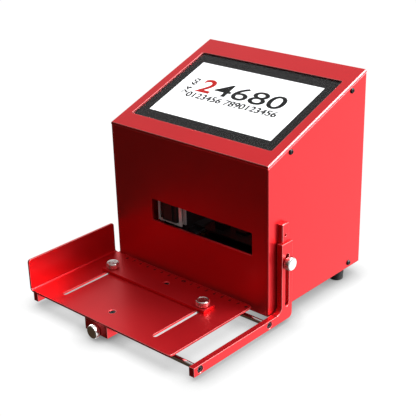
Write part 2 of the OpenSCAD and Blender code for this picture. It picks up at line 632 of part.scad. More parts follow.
module block_screws() color("black") frame() for (y = [-94, -22])
    translate([plat_x, y, plat_z - 0.45]) flush_screw(3, 5.7, 9.2);

module fence_bar() color("firebrick") frame() difference() {
    round_box([plat_x - fence_l / 2, -fence_y - fence_w / 2, fence_z],
        [plat_x + fence_l / 2, -fence_y + fence_w / 2, fence_z + fence_t], 1);
    for (x = [-long_slot_x, long_slot_x])
        rod_z(plat_x + x, -fence_y, fence_z - 1, fence_z + fence_t + 1, knob_screw_d + 0.1);
}
module fence_nuts() color("silver") frame() for (x = [-long_slot_x, long_slot_x]) difference() {
    box([plat_x + x - 4, -fence_y - 4, plat_low - 3.15], [plat_x + x + 4, -fence_y + 4, plat_low - 0.15]);
    rod_z(plat_x + x, -fence_y, plat_low - 4, plat_low, knob_screw_d + 0.1);
}

base_plate();
base_rails();
front_panel();
left_side_plate();
right_side_plate();
cover_rails();
display_panel();
rear_panel();
side_plate_screws();
rear_panel_screws();
rubber_feet();
foot_screws();
touch_glass();
glass_border();
lcd_module();
display_clips();
beam_posts();
rail_beam();
linear_rail();
motor_plate();
stepper_motor();
idler_plate();
drive_belt();
controller_board();
board_standoffs();
usb_ports();
power_inlet();
switch_housing();
hinge_frame_leaves();
left_guide_bar();
right_guide_bar();
guide_bar_screws();
rail_carriage();
head_bracket();
cartridge_holder();
item_sensor();
ink_cartridge();
head_face_frame();
motor_pulley();
idler_pulley();
rear_door();
hinge_door_leaves();
door_pull();
power_rocker();
left_arm();
right_arm();
front_rod();
rear_rod();
rod_screws();
left_height_knob();
right_height_knob();
platform_plate();
front_slider_block();
rear_slider_block();
block_screws();
platform_knob();
fence_bar();
fence_nuts();
left_fence_knob();
right_fence_knob();
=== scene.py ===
"""Looks for the red bench-top date coder: finishes, softened edges, knurled knobs, ruler and screen."""

import json
import math

import bmesh
import bpy
import numpy
from mathutils import Matrix, Vector
from mathutils.geometry import delaunay_2d_cdt


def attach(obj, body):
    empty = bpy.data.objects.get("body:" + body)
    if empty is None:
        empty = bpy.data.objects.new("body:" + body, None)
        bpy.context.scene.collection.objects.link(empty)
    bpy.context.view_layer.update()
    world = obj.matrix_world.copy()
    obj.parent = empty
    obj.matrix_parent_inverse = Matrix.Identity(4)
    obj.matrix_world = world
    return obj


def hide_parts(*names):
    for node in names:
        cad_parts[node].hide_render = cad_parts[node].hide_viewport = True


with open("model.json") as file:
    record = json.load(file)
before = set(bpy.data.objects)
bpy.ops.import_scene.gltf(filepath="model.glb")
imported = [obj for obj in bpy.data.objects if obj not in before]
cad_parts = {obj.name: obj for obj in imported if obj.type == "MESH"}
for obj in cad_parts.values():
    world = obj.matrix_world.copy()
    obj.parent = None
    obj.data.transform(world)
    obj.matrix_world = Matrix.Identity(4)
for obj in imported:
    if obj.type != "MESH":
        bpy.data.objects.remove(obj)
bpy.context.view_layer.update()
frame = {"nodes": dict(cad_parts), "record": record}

MM = 0.001
FULL_TURN = 2 * math.pi

# The machine's own measures, in millimetres from the middle of its front face's lower edge.
BODY_SHIFT_Y = -21.55
FOOT_HEIGHT = 12.0
FRONT_HEIGHT = 150.0
REAR_HEIGHT = 204.0
BODY_DEPTH = 150.0
SLOPE_ANGLE = math.atan((REAR_HEIGHT - FRONT_HEIGHT) / BODY_DEPTH)
GLASS_MIDDLE = 77.0
SCREEN_WIDTH = 154.6
SCREEN_HEIGHT = 87.4
SCREEN_SURFACE = -1.8
PLATFORM_TOP = 7.5
PLATFORM_MIDDLE = -10.5
KNOB_RADIUS = 6.65
KNOB_HEIGHT = 5.6
KNOB_SHANK = 2.0
KNOB_SIDES = 72
KNURL_ROOM = 0.30
THREAD_PITCH = 0.7
THREAD_DEPTH = 0.28
RIDGES = 54
RIDGE_DEPTH = 0.44
RIDGE_SLIMNESS = 0.72
# Where the thumb screws' heads start.
HEIGHT_KNOB = (107.6, 19, 52)
PLATFORM_KNOB = (-115.3, -2.6)
FENCE_KNOB = (61, -35.5, 10.95)

# How alike two normals are, as cosines: in one plane, round one curve, over one rounded edge.
SAME_PLANE = 0.99999
SMALL_TURN = math.cos(math.radians(12))
SOFT_TURN = math.cos(math.radians(50))
# Rim corners nearer than this to a neighbour's edge are joined to it, in metres.
SEAM = 0.000004
# A CAD mesh's loose corners this near are one corner, in metres.
ONE_CORNER = 1e-6
# Faces that turn less than this are one face, and edges that turn more than this are rounded.
ONE_FACE = math.radians(0.4)
SHARP_EDGE = math.radians(25)
# A single face larger than this lies flat, in square metres.
LARGE_FACE = 1e-5
# Tolerances inside a flat region, in millimetres: between corners, and to the nearest rim corner.
FILL_GAP = 1e-6
NEAR_CORNER = 0.02
# Stands for the rise of a level edge, so that nothing is divided by nought.
LEVEL_RISE = 1e-12
# How far under its top the glass's underside starts, and how far that is lifted, in millimetres.
GLASS_UNDERSIDE = 1.2
GLASS_CLEARANCE = 0.04


def at(x, y, z):
    """A place on the machine, in millimetres, as a place in the frame, in metres."""
    return Vector((x, y + BODY_SHIFT_Y, z + FOOT_HEIGHT)) * MM


# ------------------------------------------------------------------ node building


def put(tree, place, value):
    """Sets a socket to a value, or links it."""
    if isinstance(value, Wire):
        tree.links.new(value.socket, place)
    else:
        place.default_value = value


class Wire:
    """A socket of a shader tree whose sums and products are written as plain expressions."""

    def __init__(self, tree, socket):
        self.tree = tree
        self.socket = socket

    def maths(self, operation, first, second):
        made = self.tree.nodes.new("ShaderNodeMath")
        made.operation = operation
        put(self.tree, made.inputs[0], first)
        put(self.tree, made.inputs[1], second)
        return Wire(self.tree, made.outputs[0])

    def __add__(self, other):
        return self.maths("ADD", self, other)

    def __sub__(self, other):
        return self.maths("SUBTRACT", self, other)

    def __rsub__(self, other):
        return self.maths("SUBTRACT", other, self)

    def __mul__(self, other):
        return self.maths("MULTIPLY", self, other)

    def __pow__(self, other):
        return self.maths("POWER", self, other)

    def __gt__(self, other):
        return self.maths("GREATER_THAN", self, other)

    __radd__ = __add__
    __rmul__ = __mul__


class Tree:
    """A node tree and the one way in which nodes are added to it."""

    def __init__(self, tree):
        self.tree = tree

    def node(self, kind, settings=None, inputs=None, output=0):
        made = self.tree.nodes.new(kind)
        for name, value in (settings or {}).items():
            if name == "stops":
                for stop, (place, colour) in zip(made.color_ramp.elements, value):
                    stop.position = place
                    stop.color = colour
            else:
                setattr(made, name, value)
        for name, value in (inputs or {}).items():
            put(self.tree, made.inputs[name], value)
        return Wire(self.tree, made.outputs[output]) if made.outputs else made

    def blend(self, share, first, second):
        """Mixes two colours."""
        return self.node(
            "ShaderNodeMix",
            {"data_type": "RGBA"},
            {0: share, 6: first, 7: second},
            output=2,
        )


def colour(red, green, blue):
    return (red, green, blue, 1.0)


def finish(name, build):
    """A material whose build function is given its tree and the object's own coordinates."""
    made = bpy.data.materials.new(name)
    made.use_nodes = True
    made.node_tree.nodes.clear()
    tree = Tree(made.node_tree)
    place = tree.node("ShaderNodeTexCoord", output=3)
    coat = build(tree, place)
    tree.node("ShaderNodeOutputMaterial", None, {"Surface": coat})
    return made


def noise(tree, place, scale, detail=2.0, stretch=(1, 1, 1)):
    """A soft random value between 0 and 1, stretched along the axes whose factor is low."""
    if stretch != (1, 1, 1):
        place = tree.node("ShaderNodeMapping", None, {"Vector": place, "Scale": stretch})
    return tree.node(
        "ShaderNodeTexNoise", None, {"Vector": place, "Scale": scale, "Detail": detail}
    )


def surface(tree, **sockets):
    return tree.node(
        "ShaderNodeBsdfPrincipled",
        None,
        {name.replace("_", " "): value for name, value in sockets.items()},
    )


def bump(tree, height, depth, strength=1.0):
    return tree.node(
        "ShaderNodeBump", None, {"Height": height, "Distance": depth, "Strength": strength}
    )


# ------------------------------------------------------------------ finishes


def anodised_red(tree, place):
    """Bead-blasted aluminium under a clear red anodic layer; the faces that round its edges get a
    painted highlight, a paler pink.
    """
    grain = noise(tree, place, 1900.0, 2.0)
    cloud = noise(tree, place, 16.0, 3.0)
    fleck = noise(tree, place, 620.0, 1.0) > 0.77
    deep, fresh = colour(0.62, 0.012, 0.018), colour(0.72, 0.017, 0.024)
    dye = tree.blend(cloud, deep, fresh)
    dye = tree.blend(fleck * 0.25, dye, colour(0.82, 0.05, 0.06))
    # Painted highlight: the faces that round the edges are blended towards a pale pink by their stored
    # share, and made a little smoother.
    edge_highlight = tree.node("ShaderNodeAttribute", {"attribute_name": "painted_edge_highlight"}, output=2)
    dye = tree.blend(edge_highlight, dye, colour(0.93, 0.30, 0.30))
    return surface(
        tree,
        Base_Color=dye,
        Metallic=0.88,
        Roughness=0.36 + grain * 0.08 + cloud * 0.04 - edge_highlight * 0.16,
        Coat_Weight=0.22,
        Coat_Roughness=0.22,
        Coat_IOR=1.5,
        Normal=bump(tree, grain, 0.00002, 0.5),
    )


def milled_aluminium(tree, place):
    lines = noise(tree, place, 700.0, 2.0, (0.04, 1, 1))
    cloud = noise(tree, place, 40.0)
    tone = tree.blend(cloud, colour(0.66, 0.67, 0.69), colour(0.80, 0.80, 0.81))
    return surface(
        tree,
        Base_Color=tone,
        Metallic=1.0,
        Roughness=0.26 + lines * 0.2,
        Normal=bump(tree, lines, 0.00002, 0.5),
    )


def nickel_plate(tree, place):
    """Turned and nickel plated: faint tool marks that follow the profile of the piece."""
    along = tree.node("ShaderNodeUVMap")
    rings = tree.node("ShaderNodeTexWave", {"wave_type": "BANDS", "bands_direction": "Y"},
                      {"Vector": along, "Scale": 2.4, "Distortion": 0.6, "Detail": 1.0})
    smear = noise(tree, place, 260.0, 2.0)
    tone = tree.blend(smear, colour(0.70, 0.68, 0.66), colour(0.86, 0.85, 0.83))
    return surface(
        tree,
        Base_Color=tone,
        Metallic=1.0,
        Roughness=0.13 + smear * 0.12,
        Normal=bump(tree, rings, 0.00001, 0.6),
    )


def bright_steel(tree, place):
    smear = noise(tree, place, 420.0, 2.0, (0.1, 1, 1))
    tone = tree.blend(smear, colour(0.62, 0.61, 0.60), colour(0.80, 0.79, 0.77))
    return surface(tree, Base_Color=tone, Metallic=1.0, Roughness=0.16 + smear * 0.16)


def satin_nickel(tree, place):
    """The head's face frame, whose matt plating spreads what little light reaches it."""
    cloud = noise(tree, place, 300.0, 2.0)
    tone = tree.blend(cloud, colour(0.86, 0.85, 0.84), colour(0.95, 0.94, 0.93))
    return surface(tree, Base_Color=tone, Metallic=0.35, Roughness=0.30 + cloud * 0.08)


def ground_chrome(tree, place):
    """Cross rods: ground round, so the fine lines run about their length."""
    lines = noise(tree, place, 900.0, 2.0, (1, 0.03, 0.03))
    tone = tree.blend(lines, colour(0.72, 0.71, 0.70), colour(0.84, 0.83, 0.82))
    return surface(
        tree,
        Base_Color=tone,
        Metallic=1.0,
        Roughness=0.10 + lines * 0.10,
        Normal=bump(tree, lines, 0.000004, 0.6),
    )


def black_oxide(tree, place):
    grain = noise(tree, place, 900.0, 2.0)
    tone = tree.blend(grain, colour(0.012, 0.012, 0.014), colour(0.035, 0.034, 0.036))
    return surface(tree, Base_Color=tone, Metallic=0.6, Roughness=0.30 + grain * 0.2)


def zinc_plate(tree, place):
    cloud = noise(tree, place, 300.0, 3.0)
    tone = tree.blend(cloud, colour(0.50, 0.52, 0.56), colour(0.68, 0.69, 0.70))
    return surface(tree, Base_Color=tone, Metallic=1.0, Roughness=0.28 + cloud * 0.16)


def rubber(tree, place):
    grain = noise(tree, place, 1500.0, 2.0)
    dust = noise(tree, place, 90.0, 4.0)
    tone = tree.blend(dust, colour(0.010, 0.010, 0.010), colour(0.032, 0.031, 0.030))
    return surface(
        tree,
        Base_Color=tone,
        Roughness=0.68 + grain * 0.2,
        Normal=bump(tree, grain, 0.00006, 0.6),
    )


def moulded_black(tree, place):
    grain = noise(tree, place, 1700.0, 2.0)
    cloud = noise(tree, place, 70.0, 2.0)
    tone = tree.blend(cloud, colour(0.010, 0.010, 0.011), colour(0.020, 0.020, 0.022))
    return surface(
        tree,
        Base_Color=tone,
        Roughness=0.42 + grain * 0.14,
        Normal=bump(tree, grain, 0.00005, 0.5),
    )


def ink_case_plastic(tree, place):
    grain = noise(tree, place, 1200.0, 2.0)
    scuff = noise(tree, place, 160.0, 3.0, (1, 0.2, 1))
    tone = tree.blend(scuff, colour(0.008, 0.008, 0.009), colour(0.018, 0.017, 0.018))
    return surface(
        tree,
        Base_Color=tone,
        Roughness=0.30 + scuff * 0.2,
        Normal=bump(tree, grain, 0.00003, 0.4),
    )


def clear_glass(tree, place):
    return surface(
        tree,
        Base_Color=colour(0.02, 0.02, 0.022),
        Roughness=0.04,
        Alpha=0.06,
    )


def border_print(tree, place):
    """Black ink printed behind the cover glass, seen through its polished surface."""
    cloud = noise(tree, place, 120.0, 2.0)
    tone = tree.blend(cloud, colour(0.0105, 0.0100, 0.0100), colour(0.0135, 0.0130, 0.0130))
    return surface(
        tree,
        Base_Color=tone,
        Roughness=0.24 + cloud * 0.05,
        Specular_IOR_Level=0.10,
    )


def lit_screen(tree, place):
    """White backlight, a touch cooler and dimmer in soft random patches."""
    cloud = noise(tree, place, 9.0, 1.0)
    glow = tree.blend(cloud, colour(0.97, 0.98, 1.0), colour(1.0, 1.0, 1.0))
    return surface(
        tree,
        Base_Color=colour(0.55, 0.56, 0.57),
        Roughness=0.12,
        Emission_Color=glow,
        Emission_Strength=0.95,
    )


def screen_digit(red, green, blue):
    def build(tree, place):
        cloud = noise(tree, place, 900.0, 1.0)
        tone = tree.blend(cloud, colour(red, green, blue), colour(red * 1.2, green * 1.2, blue * 1.2))
        return surface(tree, Base_Color=tone, Roughness=0.3, Specular_IOR_Level=0.12)

    return build


def etched_scale(tree, place):
    """Ruler marks, burnt dark into the red layer."""
    grain = noise(tree, place, 2600.0, 2.0)
    tone = tree.blend(grain, colour(0.010, 0.003, 0.003), colour(0.030, 0.006, 0.006))
    return surface(
        tree, Base_Color=tone, Roughness=0.55 + grain * 0.2, Specular_IOR_Level=0.1
    )


def solder_mask(tree, place):
    """Black board with a net of raised tracks."""
    tracks = tree.node(
        "ShaderNodeTexBrick",
        {"offset": 0.5},
        {"Vector": place, "Scale": 170.0, "Mortar Size": 0.035},
        output=1,
    )
    tone = tree.blend(tracks, colour(0.006, 0.007, 0.007), colour(0.014, 0.018, 0.016))
    return surface(
        tree,
        Base_Color=tone,
        Roughness=0.34 - tracks * 0.08,
        Normal=bump(tree, tracks, 0.00004, 0.6),
    )


def black_anodised(tree, place):
    grain = noise(tree, place, 1900.0, 2.0)
    cloud = noise(tree, place, 22.0, 3.0)
    tone = tree.blend(cloud, colour(0.006, 0.006, 0.007), colour(0.014, 0.013, 0.014))
    return surface(
        tree,
        Base_Color=tone,
        Roughness=0.42 + grain * 0.1,
        Normal=bump(tree, grain, 0.00002, 0.5),
    )


def turned_brass(tree, place):
    lines = noise(tree, place, 800.0, 2.0, (0.05, 0.05, 1))
    tone = tree.blend(lines, colour(0.62, 0.43, 0.16), colour(0.80, 0.60, 0.27))
    return surface(tree, Base_Color=tone, Metallic=1.0, Roughness=0.2 + lines * 0.15)


FINISHES = {
    "red_anodised": finish("red_anodised_layer", anodised_red),
    "black_coat": finish("black_anodised_layer", black_anodised),
    "bare_aluminium": finish("milled_aluminium", milled_aluminium),
    "bright_steel": finish("bright_steel", bright_steel),
    "ground_rod": finish("ground_chromed_rod", ground_chrome),
    "black_screw": finish("black_oxide_screw", black_oxide),
    "zinc_screw": finish("zinc_plated_screw", zinc_plate),
    "foot_rubber": finish("foot_rubber", rubber),
    "belt_rubber": finish("belt_rubber", rubber),
    "cover_glass": finish("cover_glass", clear_glass),
    "border_ink": finish("glass_border_print", border_print),
    "screen_face": finish("lit_screen_face", lit_screen),
    "black_plastic": finish("moulded_black_plastic", moulded_black),
    "ink_case": finish("ink_case_plastic", ink_case_plastic),
    "circuit_board": finish("black_solder_mask", solder_mask),
    "brass_standoff": finish("turned_brass", turned_brass),
    "head_frame": finish("satin_nickel_head_frame", satin_nickel),
}
KNOB_NICKEL = finish("knob_nickel_plate", nickel_plate)
SCALE_MARK = finish("etched_scale_marks", etched_scale)
DIGIT_BLACK = finish("screen_digit_black", screen_digit(0.006, 0.006, 0.006))
DIGIT_RED = finish("screen_digit_red", screen_digit(0.42, 0.008, 0.006))

RED_SHEETS = [
    "front_panel", "left_side_plate", "right_side_plate", "display_panel",
    "rear_panel", "rear_door", "left_guide_bar", "right_guide_bar", "left_arm", "right_arm",
    "platform_plate", "front_slider_block", "rear_slider_block", "fence_bar",
]
# Rounding in millimetres, and share of painted highlight on the rounded edges, of the sheets whose
# edges differ from the rest.
EDGES = {
    "front_panel": (0.25, 0.0),
    "display_panel": (0.35, 1.0),
    "right_side_plate": (0.3, 0.15),
    "left_side_plate": (0.3, 0.15),
    "fence_bar": (0.2, 0.0),
    "left_guide_bar": (0.22, 0.8),
    "right_guide_bar": (0.22, 0.8),
    "platform_plate": (0.28, 0.8),
    "rear_panel": (0.25, 0.2),
}
NODE_FINISH = {
    "bare_aluminium": [
        "base_rails", "cover_rails", "display_clips", "beam_posts", "rail_beam", "motor_plate",
        "head_bracket", "motor_pulley", "idler_pulley",
    ],
    "bright_steel": [
        "linear_rail", "hinge_frame_leaves", "hinge_door_leaves", "rail_carriage",
        "door_pull",
    ],
    "ground_rod": ["front_rod", "rear_rod"],
    "black_screw": ["side_plate_screws", "rear_panel_screws", "rod_screws", "block_screws"],
    "zinc_screw": ["foot_screws", "idler_plate", "usb_ports", "guide_bar_screws", "fence_nuts"],
    "foot_rubber": ["rubber_feet"],
    "belt_rubber": ["drive_belt"],
    "border_ink": ["glass_border"],
    "screen_face": ["lcd_module"],
    "black_plastic": [
        "stepper_motor", "power_inlet", "switch_housing", "power_rocker", "cartridge_holder",
        "item_sensor",
    ],
    "ink_case": ["ink_cartridge"],
    "circuit_board": ["controller_board"],
    "brass_standoff": ["board_standoffs"],
    "head_frame": ["head_face_frame"],
}
BODY_OF = {
    node: body
    for body, members in frame["record"]["behaviour"]["bodies"].items()
    for node in members
}
for slot, members in NODE_FINISH.items():
    for member in members:
        for place in frame["nodes"][member].material_slots:
            place.material = FINISHES[slot]


# ------------------------------------------------------------------ pieces


def add_object(name, mesh):
    made = bpy.data.objects.new(name, mesh)
    bpy.context.scene.collection.objects.link(made)
    return made


def settled(piece):
    """Turns what the piece's modifiers make into its plain mesh."""
    graph = bpy.context.evaluated_depsgraph_get()
    graph.update()
    mesh = bpy.data.meshes.new_from_object(
        piece.evaluated_get(graph), preserve_all_data_layers=True, depsgraph=graph
    )
    piece.modifiers.clear()
    piece.data = mesh
    return piece


def flat_regions(shape):
    """Groups of touching faces that lie in one plane."""
    seen = set()
    regions = []
    for first in shape.faces:
        if first in seen:
            continue
        seen.add(first)
        group = [first]
        for face in group:
            for edge in face.edges:
                for other in edge.link_faces:
                    if other not in seen and other.normal.dot(face.normal) > SAME_PLANE:
                        seen.add(other)
                        group.append(other)
        regions.append(group)
    return regions


def refill(shape, group, kind):
    """Replaces a flat group of faces by clean triangles inside the same rim."""
    members = set(group)
    normal = max(group, key=lambda face: face.calc_area()).normal.copy()
    rounded = group[0].material_index
    rim, inner = [], []
    for edge in dict.fromkeys(e for face in group for e in face.edges):
        sides = sum(1 for face in edge.link_faces if face in members)
        (rim if sides == 1 else inner).append(edge)
    kept = dict.fromkeys(v for edge in rim for v in edge.verts)
    loose = [v for v in dict.fromkeys(v for edge in inner for v in edge.verts) if v not in kept]
    bmesh.ops.delete(shape, geom=group, context="FACES_ONLY")
    for edge in inner:
        shape.edges.remove(edge)
    for corner in loose:
        shape.verts.remove(corner)
    across = normal.orthogonal().normalized()
    along = normal.cross(across)
    corners = list(kept)
    level = corners[0].co.dot(normal)
    number = {corner: i for i, corner in enumerate(corners)}
    flat = [Vector((v.co.dot(across), v.co.dot(along))) / MM for v in corners]
    links = [(number[edge.verts[0]], number[edge.verts[1]]) for edge in rim]
    spots, _, triangles, origins, _, _ = delaunay_2d_cdt(flat, links, [], 0, FILL_GAP)
    start = numpy.array([flat[i] for i, _ in links])
    end = numpy.array([flat[j] for _, j in links])
    rise = end[:, 1] - start[:, 1]
    rise[rise == 0] = LEVEL_RISE
    placed = {}
    for triangle in triangles:
        middle = sum((spots[i] for i in triangle), Vector((0, 0))) / len(triangle)
        spans = (start[:, 1] > middle.y) != (end[:, 1] > middle.y)
        meets = start[:, 0] + (middle.y - start[:, 1]) * (end[:, 0] - start[:, 0]) / rise
        if numpy.count_nonzero(spans & (meets > middle.x)) % 2 == 0:
            continue
        for i in triangle:
            if i in placed:
                continue
            if origins[i]:
                placed[i] = corners[origins[i][0]]
                continue
            near = min(range(len(flat)), key=lambda k: (flat[k] - spots[i]).length)
            if (flat[near] - spots[i]).length < NEAR_CORNER:
                placed[i] = corners[near]
            else:
                spot = (across * spots[i].x + along * spots[i].y) * MM + normal * level
                placed[i] = shape.verts.new(spot)
        used = list(dict.fromkeys(placed[i] for i in triangle))
        if len(used) < 3 or shape.faces.get(used):
            continue
        face = shape.faces.new(used)
        face.material_index = rounded
        face.normal_update()
        if face.normal.dot(normal) < 0:
            face.normal_flip()
        face[kind] = 1


def close_seams(shape):
    """Joins rim corners that lie on a neighbour's edge, so that the shell has no open seam."""
    for _ in range(4):
        rims = [edge for edge in shape.edges if len(edge.link_faces) == 1]
        corners = list(dict.fromkeys(v for edge in rims for v in edge.verts))
        split = []
        for edge in rims:
            a, b = edge.verts[0].co, edge.verts[1].co
            span = b - a
            length = span.length
            if length < SEAM:
                continue
            on = []
            for corner in corners:
                if corner in edge.verts:
                    continue
                share = (corner.co - a).dot(span) / (length * length)
                if 0 < share < 1 and (a + span * share - corner.co).length < SEAM:
                    on.append((share, corner))
            if on:
                split.append((edge, sorted(on, key=lambda item: item[0])))
        for edge, on in split:
            last = edge.verts[0]
            done = 0.0
            for share, corner in on:
                place = corner.co.copy()
                local = (share - done) / (1 - done)
                if not 0.0 < local < 1.0:
                    continue
                edge, made = bmesh.utils.edge_split(edge, last, local)
                made.co = place
                last = made
                edge = next(e for e in made.link_edges if e is not edge)
                done = share
        rims = [edge for edge in shape.edges if len(edge.link_faces) == 1]
        if not rims:
            break
        bmesh.ops.remove_doubles(
            shape, verts=list(dict.fromkeys(v for e in rims for v in e.verts)), dist=SEAM
        )
    many = [face for face in shape.faces if len(face.verts) > 4]
    bmesh.ops.triangulate(shape, faces=many)


def shading_normals(shape, kind):
    """Flat parts keep their own normal; rounded edges and curved walls turn smoothly between them."""
    normals = []
    for face in shape.faces:
        for loop in face.loops:
            if face[kind]:
                normals.append(face.normal.copy())
                continue
            flats = [f.normal for f in loop.vert.link_faces if f[kind]]
            flats = [n for n in flats if n.dot(face.normal) > SOFT_TURN]
            if flats:
                normals.append(max(flats, key=lambda n: n.dot(face.normal)).copy())
                continue
            total = Vector((0, 0, 0))
            for other in loop.vert.link_faces:
                if other.normal.dot(face.normal) > SOFT_TURN:
                    total += other.normal
            normals.append(total.normalized() if total.length > 0.1 else face.normal.copy())
    return normals


def softened(node, slot, edge, highlight_share=0.0):
    """A copy of a CAD node whose sharp edges are rounded over, as sanding and blasting leave them, with
    the given share of painted highlight on the rounding.
    """
    shape = bmesh.new()
    shape.from_mesh(frame["nodes"][node].data)
    bmesh.ops.remove_doubles(shape, verts=shape.verts, dist=ONE_CORNER)
    bmesh.ops.dissolve_limit(
        shape, angle_limit=ONE_FACE, verts=shape.verts, edges=shape.edges
    )
    for layers in (shape.loops.layers.float_vector, shape.loops.layers.uv):
        for layer in list(layers.values()):
            layers.remove(layer)
    mesh = bpy.data.meshes.new(node + "_softened")
    shape.to_mesh(mesh)
    shape.free()
    if "custom_normal" in mesh.attributes:
        mesh.attributes.remove(mesh.attributes["custom_normal"])
    mesh.materials.clear()
    # The second copy of the finish marks the faces that the rounding makes, until their share of
    # painted highlight is set.
    for _ in range(2):
        mesh.materials.append(FINISHES[slot])
    mesh.shade_flat()
    piece = add_object(node + "_softened", mesh)
    rounding = piece.modifiers.new("rounding", "BEVEL")
    rounding.width = edge
    rounding.segments = 2
    rounding.limit_method = "ANGLE"
    rounding.angle_limit = SHARP_EDGE
    rounding.use_clamp_overlap = False
    rounding.material = 1
    rounding.loop_slide = False
    settled(piece)
    shape = bmesh.new()
    shape.from_mesh(piece.data)
    kind = shape.faces.layers.int.new("flat")
    shape.normal_update()
    for group in flat_regions(shape):
        if len(group) > 1 or len(group[0].verts) > 4:
            refill(shape, group, kind)
        elif group[0].calc_area() > LARGE_FACE or not any(
            SAME_PLANE > other.normal.dot(group[0].normal) > SMALL_TURN
            for e in group[0].edges for other in e.link_faces
        ):
            group[0][kind] = 1
    close_seams(shape)
    shape.normal_update()
    normals = shading_normals(shape, kind)
    shape.faces.layers.int.remove(kind)
    # Each face that the rounding made stores the share of painted highlight that the red finish blends
    # in.
    edge_highlight = shape.faces.layers.float.new("painted_edge_highlight")
    for face in shape.faces:
        face[edge_highlight] = highlight_share * face.material_index
        face.material_index = 0
    piece.data.materials.pop()
    shape.to_mesh(piece.data)
    shape.free()
    piece.data.shade_smooth()
    piece.data.normals_split_custom_set(normals)
    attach(piece, BODY_OF[node])
    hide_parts(node)
    return piece


for sheet in RED_SHEETS:
    edge, highlight_share = EDGES.get(sheet, (0.35, 0.8))
    softened(sheet, "red_anodised", edge * MM, highlight_share)


def cover_glass():
    """The glass, polished along its rim, a hair clear of the print behind it."""
    glass = softened("touch_glass", "cover_glass", 0.25 * MM)
    up = Vector((0, -math.sin(SLOPE_ANGLE), math.cos(SLOPE_ANGLE)))
    top = max(v.co.dot(up) for v in glass.data.vertices)
    for corner in glass.data.vertices:
        if top - corner.co.dot(up) > GLASS_UNDERSIDE * MM:
            corner.co += up * GLASS_CLEARANCE * MM


cover_glass()
softened("base_plate", "black_coat", 0.25 * MM)


# ------------------------------------------------------------------ knurled thumb screws


def lathe(profile, steps, mesh_name):
    """A closed turned body about z from (radius, height) pairs in millimetres.

    Its UVs run round it and along the profile.
    """
    shape = bmesh.new()
    run = [0.0]
    for (r0, z0), (r1, z1) in zip(profile, profile[1:]):
        run.append(run[-1] + math.hypot(r1 - r0, z1 - z0))
    rings = []
    for radius, height in profile:
        if radius == 0:
            rings.append([shape.verts.new((0, 0, height * MM))] * steps)
        else:
            rings.append([
                shape.verts.new((
                    radius * MM * math.cos(FULL_TURN * i / steps),
                    radius * MM * math.sin(FULL_TURN * i / steps),
                    height * MM,
                ))
                for i in range(steps)
            ])
    layer = shape.loops.layers.uv.new("UVMap")
    for k in range(len(rings) - 1):
        for i in range(steps):
            j = (i + 1) % steps
            corners = [
                (rings[k][i], i, run[k]), (rings[k][j], i + 1, run[k]),
                (rings[k + 1][j], i + 1, run[k + 1]), (rings[k + 1][i], i, run[k + 1]),
            ]
            used = []
            for corner in corners:
                if corner[0] not in [u[0] for u in used]:
                    used.append(corner)
            face = shape.faces.new([u[0] for u in used])
            face.smooth = True
            for loop, (_, turn, length) in zip(face.loops, used):
                loop[layer].uv = (turn / steps, length)
    bmesh.ops.recalc_face_normals(shape, faces=shape.faces)
    mesh = bpy.data.meshes.new(mesh_name)
    shape.to_mesh(mesh)
    shape.free()
    mesh.set_sharp_from_angle(angle=math.radians(30))
    return mesh


def knurl_tree(material):
    """Ridges stood round a rim: how many, on what radius, how deep, how long and how high up."""
    tree = bpy.data.node_groups.new("knurled_rim", "GeometryNodeTree")
    face = tree.interface
    face.new_socket("Geometry", in_out="INPUT", socket_type="NodeSocketGeometry")
    for name, kind, value in (
        ("Ridges", "NodeSocketInt", 56),
        ("Radius", "NodeSocketFloat", 0.0063),
        ("Depth", "NodeSocketFloat", 0.0007),
        ("Length", "NodeSocketFloat", 0.004),
        ("Lift", "NodeSocketFloat", 0.0028),
    ):
        face.new_socket(name, in_out="INPUT", socket_type=kind).default_value = value
    face.new_socket("Geometry", in_out="OUTPUT", socket_type="NodeSocketGeometry")
    build = Tree(tree)
    source = tree.nodes.new("NodeGroupInput")

    def given(name):
        return Wire(tree, source.outputs[name])

    ring = build.node(
        "GeometryNodeMeshCircle", {"fill_type": "NONE"},
        {"Vertices": given("Ridges"), "Radius": given("Radius")},
    )
    ridge = build.node(
        "GeometryNodeMeshCylinder", {"fill_type": "NGON"},
        {"Vertices": 3, "Radius": given("Depth"), "Depth": given("Length")},
    )
    slim = build.node(
        "ShaderNodeCombineXYZ", None, {"X": 1.0, "Y": RIDGE_SLIMNESS, "Z": 1.0}
    )
    ridge = build.node("GeometryNodeTransform", None, {"Geometry": ridge, "Scale": slim})
    where = build.node("GeometryNodeInputPosition")
    turned = build.node(
        "FunctionNodeAlignRotationToVector", {"axis": "X"}, {"Vector": where}
    )
    stood = build.node(
        "GeometryNodeInstanceOnPoints", None,
        {"Points": ring, "Instance": ridge, "Rotation": turned},
    )
    up = build.node("ShaderNodeCombineXYZ", None, {"Z": given("Lift")})
    stood = build.node("GeometryNodeTransform", None, {"Geometry": stood, "Translation": up})
    whole = build.node("GeometryNodeJoinGeometry")
    tree.links.new(given("Geometry").socket, whole.socket.node.inputs[0])
    tree.links.new(stood.socket, whole.socket.node.inputs[0])
    real = build.node("GeometryNodeRealizeInstances", None, {"Geometry": whole})
    done = build.node("GeometryNodeSetMaterial", None, {"Geometry": real, "Material": material})
    end = tree.nodes.new("NodeGroupOutput")
    tree.links.new(done.socket, end.inputs[0])
    return tree


KNURL = knurl_tree(KNOB_NICKEL)


def set_inputs(modifier, values):
    for item in modifier.node_group.interface.items_tree:
        if item.in_out == "INPUT" and item.name in values:
            modifier[item.identifier] = values[item.name]


